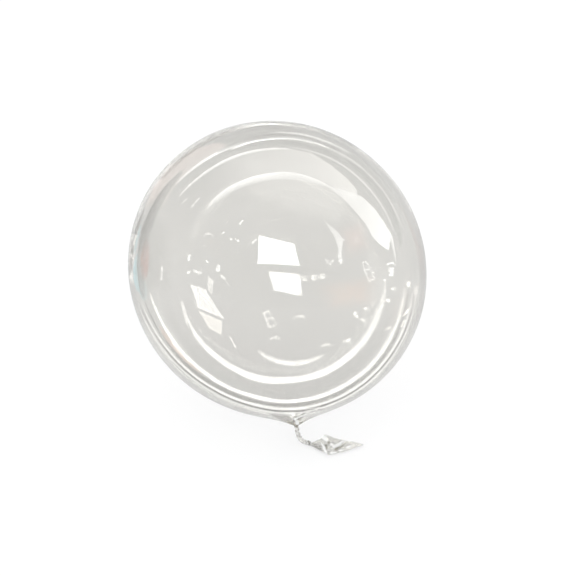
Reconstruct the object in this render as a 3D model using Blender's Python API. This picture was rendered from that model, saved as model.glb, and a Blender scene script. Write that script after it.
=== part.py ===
"""Clear bubble balloon, inflated and lying on its belly. Units are metres, +Z is up.

The balloon is one film envelope: a nearly round body, the neck where the film gathers,
the neck twisted into a short cord to seal it, and the loose end of the neck, which lies
flat on the surface. The body is sealed, so it is one solid. The origin is the middle of
the small flat spot that the balloon rests on.
"""

import math

import bmesh
import bpy
from mathutils import Matrix, Vector
from mathutils.geometry import interpolate_bezier

# Body
BODY_DIAMETER = 0.360
OVAL_SHARE = 0.0191  # how much longer, and across that shorter, the body is than round
OVAL_TURN = math.radians(42.6)  # from the neck's axis to the long diameter
REST_SPOT_RADIUS = 0.020

# Neck: a broad pull of the film towards it, and the small steep cone at its tip
NECK_TIP_HEIGHT = 0.0145  # above the surface that the balloon lies on
NECK_PULL_HEIGHT = 0.0034
NECK_PULL_REACH = 0.060
NECK_CONE_HEIGHT = 0.0090
NECK_CONE_REACH = 0.008
NECK_TIP_RADIUS = 0.0042  # of the cone, where the twisted cord starts
PLEAT_COUNT = 18
PLEAT_DEPTH = 0.0012
PLEAT_INNER_REACH = 0.007
PLEAT_REACH = 0.024

# Twisted neck
TWIST_THICKNESS = 0.0062
TWIST_PITCH = 0.0150
TWIST_STRANDS = 3
TWIST_GROOVE_SHARE = 0.20
TWIST_DROP = 0.0125  # how strongly it keeps to the neck's axis before it bends
TWIST_RUN = 0.0095  # how strongly it keeps to its heading before the loose end
TWIST_END_ACROSS = 0.0160  # from the neck's tip to the start of the loose end, towards +X
TWIST_END_FORWARD = 0.0238  # the same, towards -Y
TWIST_END_HEADING = math.radians(-38)  # from +X
TWIST_CLEARANCE = 0.0002  # under the cord, where it lies along the surface

# Loose end: a kite with a short and a long side, whose far edge is the film's cut mouth
TAIL_THICKNESS = 0.0018
TAIL_CLEARANCE = 0.0003
TAIL_WAVE_HEIGHT = 0.0030
TAIL_WAVES_ACROSS = 0.9
TAIL_WAVES_ALONG = 1.3
TAIL_WAVE_START = 0.6
TAIL_HEADING = math.radians(-12)  # of the long diagonal, from +X
TAIL_LENGTH = 0.0598
TAIL_SHORT_CORNER = (0.0164, 0.0234)  # along the diagonal, and to its left
TAIL_LONG_CORNER = (0.0208, -0.0175)
TAIL_MOUTH_BOW = 0.0040  # how far the cut mouth bows out past the straight line of its ends
TAIL_FLAT_SHARE = 0.3  # the share of the loose end in which the cord spreads flat

# Fineness of the facets
BODY_SIDES = 4 * PLEAT_COUNT
BODY_RING_STEP = math.radians(5)
NECK_ZONE = math.radians(15)  # round the neck's axis, where the rings crowd together
NECK_RINGS = 12
TWIST_RINGS = 44
TAIL_RINGS = 16
POSE_ROUNDS = 8  # of the search for the tilt that puts the neck's tip at its height

BODY_RADIUS = BODY_DIAMETER / 2
TWIST_RADIUS = TWIST_THICKNESS / 2
TWIST_SIDES = PLEAT_COUNT
UP = Vector((0, 0, 1))
ACROSS = Vector((1, 0, 0))


def smooth_step(value):
    """A share from 0 to 1 that starts and ends level."""
    value = min(1.0, max(0.0, value))
    return value * value * (3 - 2 * value)


def outer(a, b):
    """The matrix that a column a and a row b make."""
    return Matrix([[x * y for y in b] for x in a])


def neck_axis(tilt):
    """The direction of the neck, tilted down from -Y."""
    return Vector((0, -math.cos(tilt), -math.sin(tilt)))


def oval_matrix(axis):
    """Turns a round body into the slightly oval one."""
    long_axis = axis * math.cos(OVAL_TURN) + ACROSS * math.sin(OVAL_TURN)
    short_axis = axis * math.sin(OVAL_TURN) - ACROSS * math.cos(OVAL_TURN)
    change = outer(long_axis, long_axis) - outer(short_axis, short_axis)
    return Matrix.Identity(3) + change * OVAL_SHARE


def rest_pose():
    """The body's centre, its oval and its neck's axis, with the flat spot at the origin."""
    tip_distance = BODY_RADIUS + NECK_PULL_HEIGHT + NECK_CONE_HEIGHT
    tilt = math.asin((BODY_RADIUS - NECK_TIP_HEIGHT) / tip_distance)
    for _ in range(POSE_ROUNDS):
        axis = neck_axis(tilt)
        oval = oval_matrix(axis)
        lowest = oval @ oval @ UP / (oval @ UP).length * -BODY_RADIUS
        spot_share = math.sqrt(1 - (REST_SPOT_RADIUS / BODY_RADIUS) ** 2)
        centre = lowest * -spot_share
        tilt += (centre.z + (oval @ axis).z * tip_distance - NECK_TIP_HEIGHT) / tip_distance
    return centre, oval, axis


def neck_height(from_axis):
    """How far the film stands out over the round body, at this distance from the axis."""
    pull = NECK_PULL_HEIGHT * math.exp(-((from_axis / NECK_PULL_REACH) ** 2))
    return pull + NECK_CONE_HEIGHT * math.exp(-from_axis / NECK_CONE_REACH)


def pleat_height(from_axis, angle):
    """The gathers: folds that run out from the neck and fade into the body."""
    rise = smooth_step((from_axis - TWIST_RADIUS) / PLEAT_INNER_REACH)
    fade = math.exp(-((from_axis / PLEAT_REACH) ** 2))
    return PLEAT_DEPTH / 2 * rise * fade * math.cos(PLEAT_COUNT * angle)


def body_ring(pose, polar, sides):
    """One ring of points of the body, at this angle from the neck's axis."""
    centre, oval, axis = pose
    forward = axis.cross(ACROSS)
    from_axis = BODY_RADIUS * math.sin(polar) if polar < math.pi / 2 else BODY_RADIUS
    ring = []
    for side in range(sides):
        angle = math.tau * side / sides
        spoke = ACROSS * math.cos(angle) + forward * math.sin(angle)
        radius = BODY_RADIUS + neck_height(from_axis) + pleat_height(from_axis, angle)
        direction = axis * math.cos(polar) + spoke * math.sin(polar)
        ring.append(centre + oval @ (direction * radius))
    return ring


def body_rings(pose):
    """The rings of the body, from the far pole down to the cone at the neck."""
    steps = round((math.pi - NECK_ZONE) / BODY_RING_STEP)
    turns = [math.pi + (NECK_ZONE - math.pi) * step / steps for step in range(1, steps + 1)]
    # Towards the cone each ring is nearer the axis than the last by one factor.
    shrink = (math.asin(NECK_TIP_RADIUS / BODY_RADIUS) / NECK_ZONE) ** (1 / NECK_RINGS)
    turns += [NECK_ZONE * shrink**step for step in range(1, NECK_RINGS + 1)]
    return [body_ring(pose, polar, BODY_SIDES) for polar in turns]


def neck_tip(pose):
    """The point where the cone ends and the twisted cord starts."""
    centre, oval, axis = pose
    return centre + oval @ (axis * (BODY_RADIUS + neck_height(0)))


def section_frame(tangent):
    """The level direction across a run and the one square to both."""
    across = UP.cross(tangent).normalized()
    return across, tangent.cross(across).normalized()


def twist_path(pose):
    """The middle line of the twisted cord: down the neck's axis, then along the surface."""
    start = neck_tip(pose)
    end = Vector((start.x + TWIST_END_ACROSS, start.y - TWIST_END_FORWARD, 0))
    end.z = TWIST_RADIUS + TWIST_CLEARANCE
    run = Vector((math.cos(TWIST_END_HEADING), math.sin(TWIST_END_HEADING), 0))
    bend = start + pose[2] * TWIST_DROP
    return interpolate_bezier(start, bend, end - run * TWIST_RUN, end, TWIST_RINGS)


def twist_radius(angle, distance):
    """The cord's radius: its strands run round it once for each pitch."""
    turn = math.tau * distance / TWIST_PITCH
    groove = 0.5 - 0.5 * math.cos(TWIST_STRANDS * (angle - turn))
    return TWIST_RADIUS * (1 - TWIST_GROOVE_SHARE * groove)


def twist_section(point, tangent, distance):
    """One ring of points of the twisted cord."""
    across, rise = section_frame(tangent)
    ring = []
    for side in range(TWIST_SIDES):
        angle = math.tau * side / TWIST_SIDES
        spoke = across * math.cos(angle) + rise * math.sin(angle)
        ring.append(point + spoke * twist_radius(angle, distance))
    return ring


def tail_edge(start, corners, share):
    """The point at this share of an edge of the kite, which runs through its corners."""
    points = [start, *corners]
    lengths = [(b - a).length for a, b in zip(points, points[1:])]
    left = share * sum(lengths)
    for a, b, length in zip(points, points[1:], lengths):
        if left <= length or b is points[-1]:
            return a.lerp(b, min(1.0, left / length))
        left -= length


def tail_height(share, place):
    """How high the film's middle lies: it ripples along its edges and in its creases."""
    turns = TAIL_WAVES_ACROSS * place + TAIL_WAVES_ALONG * share
    ripple = 0.5 + 0.5 * math.sin(math.tau * turns + TAIL_WAVE_START)
    return TAIL_CLEARANCE + TAIL_THICKNESS / 2 + TAIL_WAVE_HEIGHT * ripple * share


def tail_section(corners, start, tangent, distance, share):
    """One ring of points of the loose end, between the cord and the cut mouth."""
    short_corner, long_corner, far_corner = corners
    left = tail_edge(start, [short_corner], share)
    right = tail_edge(start, [long_corner, far_corner], share)
    bow = UP.cross((far_corner - short_corner).normalized()) * TAIL_MOUTH_BOW * share
    flat = smooth_step(share / TAIL_FLAT_SHARE)
    middle = left.lerp(right, 0.5)
    rope = twist_section(Vector((middle.x, middle.y, start.z)), tangent, distance)
    ring = []
    for side in range(TWIST_SIDES):
        angle = math.tau * side / TWIST_SIDES
        place = 0.5 - 0.5 * math.cos(angle)
        point = left.lerp(right, place) + bow * math.sin(angle) ** 2
        point.z = tail_height(share, place) + TAIL_THICKNESS / 2 * math.sin(angle)
        ring.append(rope[side].lerp(point, flat))
    return ring


def tail_corners(start):
    """The kite's corners on the surface: short side, long side and far end."""
    along = Vector((math.cos(TAIL_HEADING), math.sin(TAIL_HEADING), 0))
    leftward = UP.cross(along)
    places = (TAIL_SHORT_CORNER, TAIL_LONG_CORNER, (TAIL_LENGTH, 0))
    return [start + along * ahead + leftward * aside for ahead, aside in places]


def neck_and_tail_rings(pose):
    """The rings of the twisted cord and of the loose end."""
    path = twist_path(pose)
    rings = []
    distance = 0.0
    tangent = pose[2]
    for index, point in enumerate(path):
        before = path[max(index - 1, 0)]
        after = path[min(index + 1, len(path) - 1)]
        distance += (point - before).length
        tangent = (after - before).normalized()
        rings.append(twist_section(point, tangent, distance))
    corners = tail_corners(path[-1])
    for step in range(1, TAIL_RINGS + 1):
        share = step / TAIL_RINGS
        along = distance + share * TAIL_LENGTH / 2
        rings.append(tail_section(corners, path[-1], tangent, along, share))
    return rings


def bridge(mesh, ring, following):
    """Quads between two rings with as many points."""
    for side in range(len(ring)):
        after = (side + 1) % len(ring)
        mesh.faces.new((ring[side], ring[after], following[after], following[side]))


def bridge_to_fewer(mesh, ring, following):
    """Triangles from a ring to one with fewer points, which share out its sides."""
    many = len(ring)
    ratio = many // len(following)
    for side, corner in enumerate(following):
        next_corner = following[(side + 1) % len(following)]
        for step in range(ratio):
            a = ring[(side * ratio + step) % many]
            b = ring[(side * ratio + step + 1) % many]
            mesh.faces.new((a, b, corner if step < ratio // 2 else next_corner))
            if step == ratio // 2 - 1:
                mesh.faces.new((b, next_corner, corner))


def close_mouth(mesh, ring):
    """A strip of faces across the flat last ring."""
    count = len(ring)
    for side in range(count // 2):
        face = [ring[side], ring[side + 1], ring[count - side - 1], ring[(count - side) % count]]
        mesh.faces.new(dict.fromkeys(face))


def cut_rest_spot(mesh):
    """Cuts the belly off level, so that the balloon has a flat spot to lie on."""
    everything = [*mesh.verts, *mesh.edges, *mesh.faces]
    bmesh.ops.bisect_plane(mesh, geom=everything, plane_no=UP, clear_inner=True)
    rim = [edge for edge in mesh.edges if edge.is_boundary]
    bmesh.ops.edgeloop_fill(mesh, edges=rim)


def film_material():
    """Clear, glossy plastic film."""
    material = bpy.data.materials.new("clear film")
    material.use_nodes = True
    shader = material.node_tree.nodes["Principled BSDF"]
    shader.inputs["Base Color"].default_value = (0.93, 0.94, 0.94, 1)
    shader.inputs["Roughness"].default_value = 0.05
    shader.inputs["Metallic"].default_value = 0.0
    shader.inputs["IOR"].default_value = 1.49
    shader.inputs["Transmission Weight"].default_value = 1.0
    return material


def make_balloon():
    """The whole envelope as one closed body."""
    pose = rest_pose()
    mesh = bmesh.new()
    wide = [[mesh.verts.new(point) for point in ring] for ring in body_rings(pose)]
    narrow = [[mesh.verts.new(point) for point in ring] for ring in neck_and_tail_rings(pose)]
    centre, oval, axis = pose
    pole = mesh.verts.new(centre - oval @ (axis * BODY_RADIUS))
    for side in range(BODY_SIDES):
        mesh.faces.new((pole, wide[0][(side + 1) % BODY_SIDES], wide[0][side]))
    for ring, following in zip(wide, wide[1:]):
        bridge(mesh, ring, following)
    bridge_to_fewer(mesh, wide[-1], narrow[0])
    for ring, following in zip(narrow, narrow[1:]):
        bridge(mesh, ring, following)
    close_mouth(mesh, narrow[-1])
    cut_rest_spot(mesh)
    bmesh.ops.triangulate(mesh, faces=mesh.faces)
    bmesh.ops.recalc_face_normals(mesh, faces=mesh.faces)
    data = bpy.data.meshes.new("balloon")
    mesh.to_mesh(data)
    mesh.free()
    data.shade_smooth()
    data.set_sharp_from_angle(angle=math.radians(35))
    data.materials.append(film_material())
    balloon = bpy.data.objects.new("balloon", data)
    bpy.context.scene.collection.objects.link(balloon)
    return balloon


def main():
    for old in list(bpy.data.objects):
        bpy.data.objects.remove(old)
    make_balloon()


main()
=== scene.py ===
"""A clear bubble balloon lying on its belly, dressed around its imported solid.

Metres, +Z up, with the origin in the middle of the flat spot on the belly. The balloon
is one piece of film: the blown body, the pleats where it gathers to the neck, the
twisted neck and its loose end. The studio is a pale floor, a soft key light, and light
cards whose pictures show in the film.
"""

import logging
import math
from dataclasses import dataclass
from enum import Enum
from itertools import chain
from typing import Sequence

import bmesh
import bpy
import numpy as np
from mathutils import Matrix, Vector


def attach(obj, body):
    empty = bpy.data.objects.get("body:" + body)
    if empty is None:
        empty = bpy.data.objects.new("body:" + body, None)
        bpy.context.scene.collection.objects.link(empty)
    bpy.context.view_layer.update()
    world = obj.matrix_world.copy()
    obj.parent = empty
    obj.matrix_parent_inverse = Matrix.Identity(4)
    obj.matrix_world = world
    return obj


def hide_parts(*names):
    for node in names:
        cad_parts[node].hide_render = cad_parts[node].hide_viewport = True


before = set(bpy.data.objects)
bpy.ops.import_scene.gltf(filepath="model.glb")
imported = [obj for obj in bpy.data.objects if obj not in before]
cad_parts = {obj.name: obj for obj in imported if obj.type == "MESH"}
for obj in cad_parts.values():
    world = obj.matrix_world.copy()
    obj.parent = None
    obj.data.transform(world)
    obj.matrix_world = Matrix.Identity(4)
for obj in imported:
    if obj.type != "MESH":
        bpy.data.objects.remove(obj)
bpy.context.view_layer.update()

LOG = logging.getLogger("balloon")
UP = Vector((0, 0, 1))
ACROSS = Vector((1, 0, 0))
Socket = bpy.types.NodeSocket
Material = bpy.types.Material
Mesh = bpy.types.Mesh
Feed = Socket | float | int | tuple | str | Material
Place = tuple[float, float]
Row = list[tuple[Place, float]]


class Wall(Enum):
    """The wall of the balloon that mirrors a light card, as the picture shows it."""

    FRONT = "front"
    BACK = "back"


class Wiring:
    """Adds nodes to a shader's tree or a Geometry Nodes tree and links what feeds them."""

    def __init__(self, tree: bpy.types.NodeTree) -> None:
        """Takes the tree that gets the nodes."""
        self.tree = tree

    def feed(self, socket: Socket, value: Feed) -> None:
        """Links a socket to another one, or sets its plain value.

        Args:
            socket: the input to feed.
            value: an output socket or a plain value.
        """
        if isinstance(value, bpy.types.NodeSocket):
            self.tree.links.new(value, socket)
        else:
            socket.default_value = value

    def node(self, kind: str, inputs: dict[str, Feed] | None = None, **settings) -> bpy.types.Node:
        """Adds one node.

        Args:
            kind: Blender's name for the node's type.
            inputs: what feeds its inputs, by their names.
            settings: its properties.

        Returns:
            The new node.
        """
        made = self.tree.nodes.new(kind)
        for name, value in settings.items():
            setattr(made, name, value)
        for name, value in (inputs or {}).items():
            self.feed(made.inputs[name], value)
        return made

    def math(self, operation: str, *values: Feed) -> Socket:
        """Adds a Math node.

        Args:
            operation: what it works out.
            values: what feeds its inputs, in order.

        Returns:
            Its output.
        """
        made = self.node("ShaderNodeMath", operation=operation)
        for socket, value in zip(made.inputs, values):
            self.feed(socket, value)
        return made.outputs[0]

    def product(self, *values: Feed) -> Socket:
        """Multiplies values together.

        Args:
            values: sockets or numbers, two or more.

        Returns:
            The product's socket.
        """
        total = values[0]
        for value in values[1:]:
            total = self.math("MULTIPLY", total, value)
        return total

    def total(self, *values: Feed) -> Socket:
        """Adds values together.

        Args:
            values: sockets or numbers, two or more.

        Returns:
            The sum's socket.
        """
        total = values[0]
        for value in values[1:]:
            total = self.math("ADD", total, value)
        return total

    def scaled(self, vector: Feed, factor: Feed) -> Socket:
        """Makes a vector longer or shorter by a factor."""
        made = self.node("ShaderNodeVectorMath", {"Vector": vector, "Scale": factor}, operation="SCALE")
        return made.outputs[0]

    def parts(self, vector: Feed) -> tuple[Socket, Socket, Socket]:
        """Splits a vector in its X, Y and Z."""
        return tuple(self.node("ShaderNodeSeparateXYZ", {"Vector": vector}).outputs)

    def joined(self, x: Feed, y: Feed, z: Feed) -> Socket:
        """Makes a vector of its X, Y and Z."""
        return self.node("ShaderNodeCombineXYZ", {"X": x, "Y": y, "Z": z}).outputs[0]

    def noise(self, vector: Feed, scale: Feed, detail: float = 2.0, roughness: float = 0.5) -> Socket:
        """Adds a cloudy noise between 0 and 1, read at a vector."""
        inputs = {"Vector": vector, "Scale": scale, "Detail": detail, "Roughness": roughness}
        return self.node("ShaderNodeTexNoise", inputs).outputs[0]

    def swing(self, vector: Feed, scale: Feed, detail: float = 2.0) -> Socket:
        """Adds a noise that swings about 0, roughly between -1 and 1."""
        return self.math("MULTIPLY_ADD", self.noise(vector, scale, detail), 2.0, -1.0)

    def bell(self, distance: Feed, reach: Feed) -> Socket:
        """Falls smoothly from 1 at no distance to nearly 0 past twice the reach."""
        ratio = self.math("DIVIDE", distance, reach)
        return self.math("EXPONENT", self.product(ratio, ratio, -1.0))

    def spread(self, value: Feed, low: float, high: float, first: Feed, last: Feed, **settings) -> Socket:
        """Maps the values from low to high to those from first to last."""
        inputs = {"Value": value, "From Min": low, "From Max": high, "To Min": first, "To Max": last}
        return self.node("ShaderNodeMapRange", inputs, **settings).outputs[0]

    def deeper(self, bounces: str, count: float = 0.5) -> Socket:
        """Gives 1 for light that has had more bounces of a kind than this, else 0."""
        path = self.node("ShaderNodeLightPath").outputs
        return self.math("GREATER_THAN", path[bounces], count)


class ShapeTree(Wiring):
    """A Geometry Nodes tree with named inputs, which is turned into a plain mesh."""

    def __init__(self, name: str) -> None:
        """Starts an empty tree.

        Args:
            name: the tree's name.
        """
        super().__init__(bpy.data.node_groups.new(name, "GeometryNodeTree"))
        self.tree.interface.new_socket("Geometry", in_out="OUTPUT", socket_type="NodeSocketGeometry")
        self.entry = self.tree.nodes.new("NodeGroupInput")
        self.values: dict[str, Feed] = {}

    def named(self, name: str, value: Feed, kind: str = "NodeSocketFloat") -> Socket:
        """Adds a named input to the tree.

        Args:
            name: the input's name.
            value: what it is set to.
            kind: the socket's type.

        Returns:
            The socket that carries it.
        """
        item = self.tree.interface.new_socket(name, in_out="INPUT", socket_type=kind)
        self.values[item.identifier] = value
        return self.entry.outputs[name]

    def count(self, name: str, value: int) -> Socket:
        """Adds a named whole number, such as a number of sides."""
        return self.named(name, value, "NodeSocketInt")

    def point(self, name: str, value: Sequence[float]) -> Socket:
        """Adds a named place."""
        return self.named(name, tuple(value), "NodeSocketVector")

    def mesh(self, shape: Socket, material: Material) -> Mesh:
        """Ends the tree and works it out.

        Args:
            shape: the geometry that the tree makes.
            material: its finish.

        Returns:
            The plain mesh.
        """
        finish = self.named("Finish", material, "NodeSocketMaterial")
        smooth = self.node("GeometryNodeSetShadeSmooth", {"Geometry": shape})
        real = self.node("GeometryNodeRealizeInstances", {"Geometry": smooth.outputs[0]})
        inputs = {"Geometry": real.outputs[0], "Material": finish}
        dressed = self.node("GeometryNodeSetMaterial", inputs)
        self.node("NodeGroupOutput", {"Geometry": dressed.outputs[0]})
        holder = placed(self.tree.name, bpy.data.meshes.new(self.tree.name))
        modifier = holder.modifiers.new("shape", "NODES")
        modifier.node_group = self.tree
        for identifier, value in self.values.items():
            modifier[identifier] = value
        mesh = plain_mesh(holder)
        bpy.data.objects.remove(holder)
        return mesh


def placed(name: str, data: bpy.types.ID) -> bpy.types.Object:
    """Adds an object to the scene, at the origin.

    Args:
        name: its name.
        data: its mesh, light or camera.

    Returns:
        The object.
    """
    made = bpy.data.objects.new(name, data)
    bpy.context.scene.collection.objects.link(made)
    return made


def places(mesh: Mesh) -> np.ndarray:
    """Reads a mesh's points, one to a row.

    Args:
        mesh: the mesh.

    Returns:
        Their places.
    """
    flat = np.empty(len(mesh.vertices) * 3, np.float32)
    mesh.vertices.foreach_get("co", flat)
    return flat.reshape(-1, 3)


def plain_mesh(holder: bpy.types.Object) -> Mesh:
    """Gives an object's shape, with its modifiers applied, as a mesh of its own."""
    graph = bpy.context.evaluated_depsgraph_get()
    return bpy.data.meshes.new_from_object(holder.evaluated_get(graph), depsgraph=graph)


def smooth_step(value: np.ndarray | float) -> np.ndarray | float:
    """A share from 0 to 1 that starts and ends level."""
    value = np.clip(value, 0.0, 1.0)
    return value * value * (3 - 2 * value)


def thin_walled(mesh: Mesh, wall: float) -> Mesh:
    """Gives a skin its film thickness, inwards.

    Args:
        mesh: the outer skin, with its faces pointing out.
        wall: the film's thickness.

    Returns:
        The mesh with its inner skin.
    """
    holder = placed("skin", mesh)
    solidify = holder.modifiers.new("wall", "SOLIDIFY")
    solidify.thickness = wall
    solidify.offset = -1
    solidify.use_even_offset = True
    walled = plain_mesh(holder)
    bpy.data.objects.remove(holder)
    return walled


@dataclass(frozen=True)
class Pose:
    """How the balloon lies.

    Attributes:
        centre: the body's centre.
        oval: what turns a round body into the oval one.
        axis: the direction of the neck.
    """

    centre: Vector
    oval: Matrix
    axis: Vector

    @property
    def turn(self) -> Matrix:
        """The rotation from the body's own frame, whose +Z is the neck, to the row's."""
        return Matrix((ACROSS, self.axis.cross(ACROSS), self.axis)).transposed()

    @property
    def matrix(self) -> Matrix:
        """The whole placing, with the oval."""
        return Matrix.Translation(self.centre) @ (self.oval @ self.turn).to_4x4()


@dataclass(frozen=True)
class FilmFinish:
    """Clear plastic film: see-through, glossy, with faint stretch lines and haze.

    Attributes:
        name: the material's name.
        tint: what colour one wall lets through.
        refraction: how strongly it bends and mirrors light.
        smear: the roughness of the haze that lies on it.
        haze_scale: how many patches of haze there are to a metre.
        haze_detail: how fine that noise goes, and how strong its fine part is.
        haze_span: the values of the haze's noise from its clear to its dull places.
        lines: how deep its stretch lines are, in metres.
        line_scale: how many of those there are round the body, as a measure.
        line_detail: how fine their noise goes, and how strong its fine part is.
        line_drift: how much they change along their length, against round the body.
        patch_scale: how many patches with and without lines there are to a metre.
        patch_span: the values of the patches' noise from no lines to full lines.
        crinkle: how deep its small dents are, in metres.
        crinkle_scale: how many of those there are to a metre.
        shade: the share of light that each skin lets through to what lies behind.
        clear: how see-through it is; the painted highlight is barely see-through.
    """

    name: str
    tint: tuple[float, float, float]
    refraction: float = 1.49
    smear: float = 0.03
    haze_scale: float = 9.0
    haze_detail: Place = (3.0, 0.6)
    haze_span: Place = (0.35, 0.75)
    lines: float = 0.00004
    line_scale: float = 34.0
    line_detail: Place = (3.0, 0.65)
    line_drift: float = 0.6
    patch_scale: float = 7.0
    patch_span: Place = (0.42, 0.62)
    crinkle: float = 0.0
    crinkle_scale: float = 140.0
    shade: float = 0.95
    clear: float = 1.0

    def material(self, pose: Pose) -> Material:
        """Builds the finish.

        Args:
            pose: where the balloon's neck is, which its stretch lines run out from.

        Returns:
            The material.
        """
        made = bpy.data.materials.new(self.name)
        made.use_nodes = True
        made.node_tree.nodes.clear()
        wiring = Wiring(made.node_tree)
        place = wiring.node("ShaderNodeTexCoord").outputs["Object"]
        own = wiring.node("ShaderNodeMapping", {"Vector": place}, vector_type="TEXTURE")
        own.inputs["Location"].default_value = pose.centre
        own.inputs["Rotation"].default_value = pose.turn.to_euler()
        haze = wiring.noise(own.outputs[0], self.haze_scale, *self.haze_detail)
        inputs = {
            "Base Color": (*self.tint, 1.0),
            "Roughness": wiring.spread(haze, *self.haze_span, self.smear / 3, self.smear),
            "IOR": self.refraction,
            "Transmission Weight": self.clear,
            "Normal": self.relief(wiring, own.outputs[0]),
        }
        film = wiring.node("ShaderNodeBsdfPrincipled", inputs)
        clear = wiring.node("ShaderNodeBsdfTransparent", {"Color": (self.shade,) * 3 + (1.0,)})
        path = wiring.node("ShaderNodeLightPath").outputs
        lighting = wiring.math("MAXIMUM", path["Is Shadow Ray"], path["Is Diffuse Ray"])
        mix = wiring.node("ShaderNodeMixShader", {"Fac": lighting})
        wiring.feed(mix.inputs[1], film.outputs[0])
        wiring.feed(mix.inputs[2], clear.outputs[0])
        wiring.node("ShaderNodeOutputMaterial", {"Surface": mix.outputs[0]})
        return made

    def relief(self, wiring: Wiring, own: Socket) -> Socket:
        """The film's fine relief: stretch lines from neck to crown, and small dents.

        Args:
            wiring: the material's tree.
            own: the place in the body's own frame, whose +Z is the neck.

        Returns:
            The bumped normal.
        """
        x, y, z = wiring.parts(own)
        spoke = wiring.node("ShaderNodeVectorMath", operation="NORMALIZE")
        wiring.feed(spoke.inputs[0], wiring.joined(x, y, 0.0))
        sx, sy, _ = wiring.parts(spoke.outputs[0])
        along = wiring.joined(sx, sy, wiring.math("MULTIPLY", z, self.line_drift))
        fine = wiring.noise(along, self.line_scale, *self.line_detail)
        patches = wiring.spread(wiring.noise(own, self.patch_scale, 1.0), *self.patch_span, 0.0, 1.0)
        lines = wiring.product(fine, patches, self.lines)
        dents = wiring.product(wiring.noise(own, self.crinkle_scale, 3.0), self.crinkle)
        height = wiring.math("ADD", lines, dents)
        bump = wiring.node("ShaderNodeBump", {"Height": height, "Distance": 1.0, "Strength": 1.0})
        return bump.outputs["Normal"]


@dataclass(frozen=True)
class Crease:
    """A straight fold in the film, in metres in the plane of the loose end or the neck.

    Attributes:
        start: where the fold starts.
        end: where it ends.
        width: how wide its ridge is.
        height: how high it stands, or lies if below zero.
        fall: the share of its height that it loses towards its end.
    """

    start: Place
    end: Place
    width: float
    height: float
    fall: float = 0.4

    def rise(self, along: np.ndarray, aside: np.ndarray) -> np.ndarray:
        """How high the film stands on this fold.

        Args:
            along: the places along the plane's first direction.
            aside: the places along its second one.

        Returns:
            The height at each place.
        """
        a, b = np.array(self.start), np.array(self.end)
        run = b - a
        share = ((along - a[0]) * run[0] + (aside - a[1]) * run[1]) / (run @ run)
        near = np.clip(share, 0, 1)
        distance = np.hypot(along - a[0] - near * run[0], aside - a[1] - near * run[1])
        return self.height * np.exp(-distance / self.width) * (1 - self.fall * near)


def strongest(creases: Sequence[Crease], rises: Sequence[np.ndarray], way: int) -> np.ndarray:
    """How close each place is to the middle of a ridge or of a valley, from 0 to 1.

    Args:
        creases: the creases, with both ridges and valleys.
        rises: what each of them gives at each place.
        way: 1 for the ridges and -1 for the valleys.

    Returns:
        The share of the nearest one's height.
    """
    shares = [rise / crease.height for rise, crease in zip(rises, creases) if crease.height * way > 0]
    return np.max(shares, axis=0)


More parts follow.
